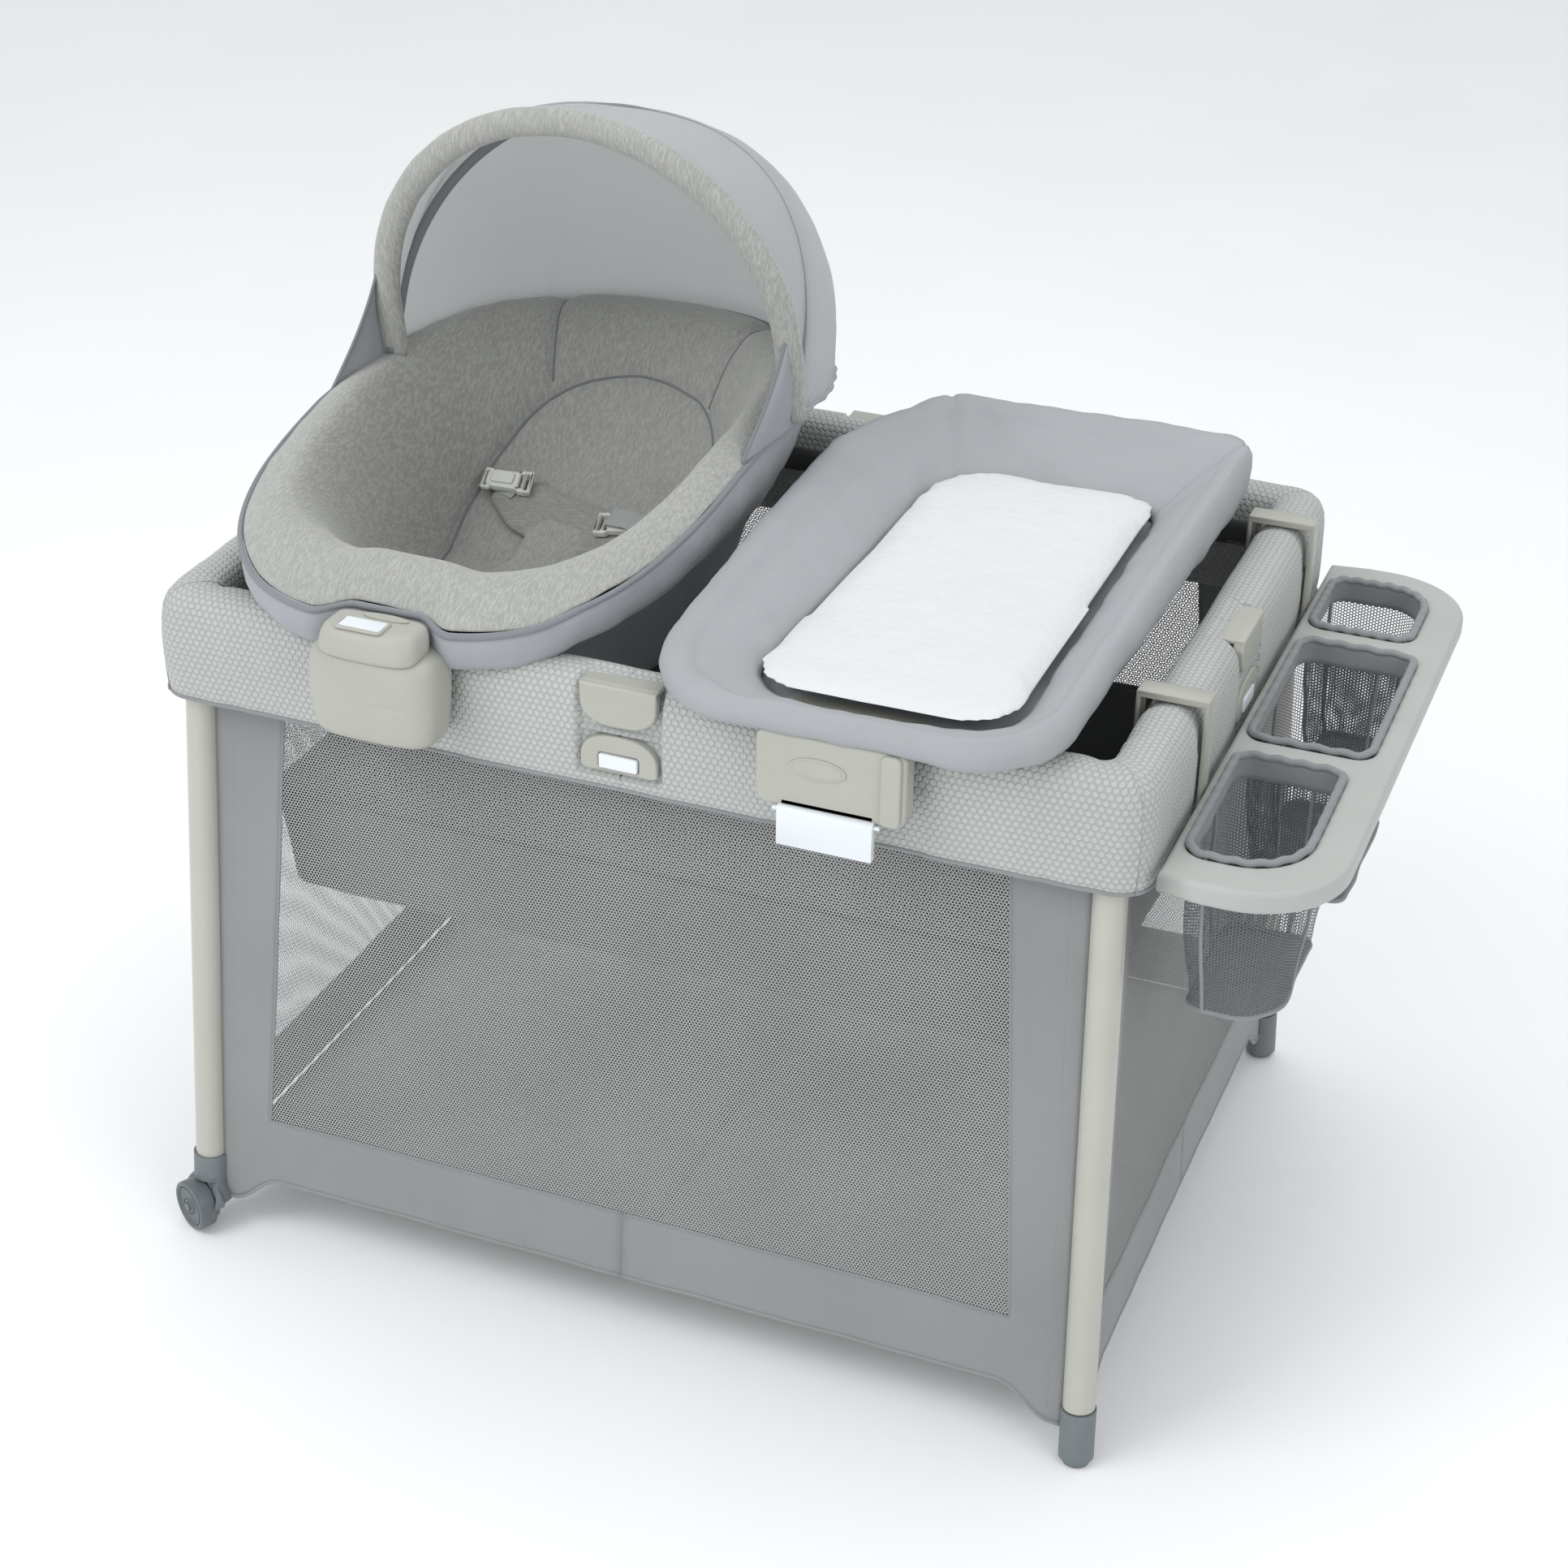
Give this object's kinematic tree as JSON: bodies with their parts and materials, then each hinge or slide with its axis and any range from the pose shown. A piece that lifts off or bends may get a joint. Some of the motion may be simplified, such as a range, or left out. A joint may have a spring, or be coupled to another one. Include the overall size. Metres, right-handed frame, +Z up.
{
  "type": "folding travel play yard",
  "caption": "Folding play yard: four splayed legs, padded top rail, mesh walls, hanging bassinet insert, reclined canopied seat, changing tray and side organizer.",
  "frame": {"origin": "on the floor at the centre of the unfolded yard", "axes": "+X to the organizer side (the user's right, facing the front), +Y to the back, +Z up; front is -Y"},
  "size_m": [1.1954, 0.833, 1.17],
  "materials": {
    "panel_fabric": "woven, matt",
    "floor_fabric": "woven, matt",
    "cover_fabric": "padded knit, matt",
    "frame_plastic": "satin warm grey",
    "frame_tube": "satin warm grey",
    "dark_plastic": "satin slate grey",
    "wheel_plastic": "satin slate grey",
    "key_plastic": "white",
    "insert_fabric": "woven, matt",
    "seat_fabric": "heather knit",
    "seat_trim": "smooth woven",
    "buckle_plastic": "satin off white",
    "canopy_cloth": "smooth woven",
    "changer_fabric": "smooth woven",
    "changer_top": "smooth wipe clean",
    "tray_plastic": "satin",
    "mesh_fabric": "open mesh"
  },
  "bodies": {
    "leg_bl": {"yard_walls": "panel_fabric", "yard_floor": "floor_fabric", "rail_covers": "cover_fabric", "leg_tube_bl": "frame_tube", "corner_bracket_bl": "frame_plastic", "caster_housing_bl": "dark_plastic"},
    "leg_fl": {"leg_tube_fl": "frame_tube", "corner_bracket_fl": "frame_plastic", "caster_housing_fl": "dark_plastic"},
    "leg_fr": {"leg_tube_fr": "frame_tube", "corner_bracket_fr": "frame_plastic", "foot_fr": "dark_plastic"},
    "leg_br": {"leg_tube_br": "frame_tube", "corner_bracket_br": "frame_plastic", "foot_br": "dark_plastic"},
    "wheel_fl": {"caster_wheel_fl": "wheel_plastic"},
    "wheel_bl": {"caster_wheel_bl": "wheel_plastic"},
    "hub": {"hub_housing": "dark_plastic"},
    "bassinet": {"bassinet_shell": "insert_fabric", "mattress_pad": "insert_fabric"},
    "seat": {"seat_shell": "seat_trim", "seat_pad": "seat_fabric", "seat_harness": "seat_fabric", "harness_buckles": "buckle_plastic", "pod_housing": "frame_plastic", "pod_lid": "frame_plastic", "seat_rear_hook": "frame_plastic", "canopy_fabric": "canopy_cloth"},
    "pod_key": {"pod_button": "key_plastic"},
    "bow_front": {"canopy_front_bow": "seat_fabric"},
    "bow_mid": {"canopy_mid_bow": "frame_tube"},
    "changer": {"changer_shell": "changer_fabric", "changer_pad": "changer_top", "changer_mount": "frame_plastic", "changer_rear_hook": "frame_plastic"},
    "lever": {"changer_lever": "key_plastic"},
    "organizer": {"organizer_tray": "tray_plastic", "organizer_hooks": "frame_plastic", "organizer_baskets": "mesh_fabric"},
    "arm_fl": {"floor_arm_fl": "frame_tube"},
    "arm_fr": {"floor_arm_fr": "frame_tube"},
    "arm_bl": {"floor_arm_bl": "frame_tube"},
    "arm_br": {"floor_arm_br": "frame_tube"},
    "rail_front_l": {"half_rail_front_l": "frame_tube"},
    "rail_front_r": {"half_rail_front_r": "frame_tube", "latch_front": "frame_plastic"},
    "rail_back_l": {"half_rail_back_l": "frame_tube", "latch_back": "frame_plastic"},
    "rail_back_r": {"half_rail_back_r": "frame_tube"},
    "rail_left_f": {"half_rail_left_f": "frame_tube", "latch_left": "frame_plastic"},
    "rail_left_b": {"half_rail_left_b": "frame_tube"},
    "rail_right_f": {"half_rail_right_f": "frame_tube"},
    "rail_right_b": {"half_rail_right_b": "frame_tube", "latch_right": "frame_plastic"},
    "key_front": {"release_front": "key_plastic"},
    "key_back": {"release_back": "key_plastic"},
    "key_left": {"release_left": "key_plastic"},
    "key_right": {"release_right": "key_plastic"}
  },
  "joints": [
    {"name": "fold", "type": "hinge", "parent": "leg_bl", "child": "arm_bl", "pos_m": [-0.46317, 0.35537, 0.042], "axis": [-0.6087, -0.7934, 0], "range_deg": [0, 75], "deforming": ["yard_walls", "yard_floor", "rail_covers"]},
    {"name": "hub_level", "type": "hinge", "parent": "arm_bl", "child": "hub", "pos_m": [-0.08727, 0.06696, 0.042], "axis": [0.6087, 0.7934, 0], "range_deg": [0, 75]},
    {"name": "arm_fl_drop", "type": "hinge", "parent": "hub", "child": "arm_fl", "pos_m": [-0.08727, -0.06696, 0.042], "axis": [0.6087, -0.7934, 0], "range_deg": [0, 75]},
    {"name": "leg_fl_upright", "type": "hinge", "parent": "arm_fl", "child": "leg_fl", "pos_m": [-0.46317, -0.35537, 0.042], "axis": [-0.6087, 0.7934, 0], "range_deg": [0, 75]},
    {"name": "arm_fr_drop", "type": "hinge", "parent": "hub", "child": "arm_fr", "pos_m": [0.08727, -0.06696, 0.042], "axis": [0.6087, 0.7934, 0], "range_deg": [0, 75]},
    {"name": "leg_fr_upright", "type": "hinge", "parent": "arm_fr", "child": "leg_fr", "pos_m": [0.46317, -0.35537, 0.042], "axis": [-0.6087, -0.7934, 0], "range_deg": [0, 75]},
    {"name": "arm_br_drop", "type": "hinge", "parent": "hub", "child": "arm_br", "pos_m": [0.08727, 0.06696, 0.042], "axis": [-0.6087, 0.7934, 0], "range_deg": [0, 75]},
    {"name": "leg_br_upright", "type": "hinge", "parent": "arm_br", "child": "leg_br", "pos_m": [0.46317, 0.35537, 0.042], "axis": [0.6087, -0.7934, 0], "range_deg": [0, 75]},
    {"name": "rail_front_l_fold", "type": "hinge", "parent": "leg_fl", "child": "rail_front_l", "pos_m": [-0.3759, -0.329, 0.727], "axis": [0, 1, 0], "range_deg": [0, 75]},
    {"name": "rail_front_r_fold", "type": "hinge", "parent": "leg_fr", "child": "rail_front_r", "pos_m": [0.3759, -0.329, 0.727], "axis": [0, -1, 0], "range_deg": [0, 75]},
    {"name": "rail_back_l_fold", "type": "hinge", "parent": "leg_bl", "child": "rail_back_l", "pos_m": [-0.3759, 0.329, 0.727], "axis": [0, 1, 0], "range_deg": [0, 75]},
    {"name": "rail_back_r_fold", "type": "hinge", "parent": "leg_br", "child": "rail_back_r", "pos_m": [0.3759, 0.329, 0.727], "axis": [0, -1, 0], "range_deg": [0, 75]},
    {"name": "rail_left_f_fold", "type": "hinge", "parent": "leg_fl", "child": "rail_left_f", "pos_m": [-0.477, -0.28841, 0.727], "axis": [-1, 0, 0], "range_deg": [0, 75]},
    {"name": "rail_left_b_fold", "type": "hinge", "parent": "leg_bl", "child": "rail_left_b", "pos_m": [-0.477, 0.28841, 0.727], "axis": [1, 0, 0], "range_deg": [0, 75]},
    {"name": "rail_right_f_fold", "type": "hinge", "parent": "leg_fr", "child": "rail_right_f", "pos_m": [0.477, -0.28841, 0.727], "axis": [-1, 0, 0], "range_deg": [0, 75]},
    {"name": "rail_right_b_fold", "type": "hinge", "parent": "leg_br", "child": "rail_right_b", "pos_m": [0.477, 0.28841, 0.727], "axis": [1, 0, 0], "range_deg": [0, 75]},
    {"name": "release_front_press", "type": "slide", "parent": "rail_front_r", "child": "key_front", "axis": [0, 1, 0], "range_m": [0, 0.005], "stiffness_N_per_m": 400},
    {"name": "release_back_press", "type": "slide", "parent": "rail_back_l", "child": "key_back", "axis": [0, -1, 0], "range_m": [0, 0.005], "stiffness_N_per_m": 400},
    {"name": "release_left_press", "type": "slide", "parent": "rail_left_f", "child": "key_left", "axis": [1, 0, 0], "range_m": [0, 0.005], "stiffness_N_per_m": 400},
    {"name": "release_right_press", "type": "slide", "parent": "rail_right_b", "child": "key_right", "axis": [-1, 0, 0], "range_m": [0, 0.005], "stiffness_N_per_m": 400},
    {"name": "wheel_fl_roll", "type": "hinge", "parent": "leg_fl", "child": "wheel_fl", "pos_m": [-0.49798, -0.39301, 0.028], "axis": [-0.4695, -0.8829, 0], "continuous": true},
    {"name": "wheel_bl_roll", "type": "hinge", "parent": "leg_bl", "child": "wheel_bl", "pos_m": [-0.49798, 0.39301, 0.028], "axis": [-0.4695, 0.8829, 0], "continuous": true},
    {"name": "bassinet_lift", "type": "slide", "parent": "hub", "child": "bassinet", "axis": [0, 0, 1], "range_m": [0, 0.3937]},
    {"name": "seat_lift", "type": "slide", "parent": "bassinet", "child": "seat", "axis": [0, 0, 1], "range_m": [0, 0.3]},
    {"name": "changer_lift", "type": "slide", "parent": "bassinet", "child": "changer", "axis": [0, 0, 1], "range_m": [0, 0.3]},
    {"name": "organizer_lift", "type": "slide", "parent": "bassinet", "child": "organizer", "axis": [0, 0, 1], "range_m": [0, 0.3]},
    {"name": "pod_button_press", "type": "slide", "parent": "seat", "child": "pod_key", "axis": [0, 0, -1], "range_m": [0, 0.002], "stiffness_N_per_m": 400},
    {"name": "canopy_front", "type": "hinge", "parent": "seat", "child": "bow_front", "pos_m": [-0.235, 0.05, 0.862], "axis": [-1, 0, 0], "range_deg": [0, 50], "deforming": ["canopy_fabric"]},
    {"name": "canopy_mid", "type": "hinge", "parent": "seat", "child": "bow_mid", "pos_m": [-0.235, 0.05, 0.862], "axis": [-1, 0, 0], "range_deg": [0, 45]},
    {"name": "changer_lever_swing", "type": "hinge", "parent": "changer", "child": "lever", "pos_m": [0.221, -0.397, 0.676], "axis": [1, 0, 0], "range_deg": [-25, 0], "stiffness_Nm_per_rad": 0.5}
  ],
  "couplings": [
    {"joint": "hub_level", "follows": "fold", "ratio": 1},
    {"joint": "arm_fl_drop", "follows": "fold", "ratio": 1},
    {"joint": "leg_fl_upright", "follows": "fold", "ratio": 1},
    {"joint": "arm_fr_drop", "follows": "fold", "ratio": 1},
    {"joint": "leg_fr_upright", "follows": "fold", "ratio": 1},
    {"joint": "arm_br_drop", "follows": "fold", "ratio": 1},
    {"joint": "leg_br_upright", "follows": "fold", "ratio": 1},
    {"joint": "rail_front_l_fold", "follows": "fold", "ratio": 1},
    {"joint": "rail_front_r_fold", "follows": "fold", "ratio": 1},
    {"joint": "rail_back_l_fold", "follows": "fold", "ratio": 1},
    {"joint": "rail_back_r_fold", "follows": "fold", "ratio": 1},
    {"joint": "rail_left_f_fold", "follows": "fold", "ratio": 1},
    {"joint": "rail_left_b_fold", "follows": "fold", "ratio": 1},
    {"joint": "rail_right_f_fold", "follows": "fold", "ratio": 1},
    {"joint": "rail_right_b_fold", "follows": "fold", "ratio": 1},
    {"joint": "bassinet_lift", "follows": "fold", "m_per_rad": 0.3},
    {"joint": "canopy_mid", "follows": "canopy_front", "ratio": 0.9}
  ]
}
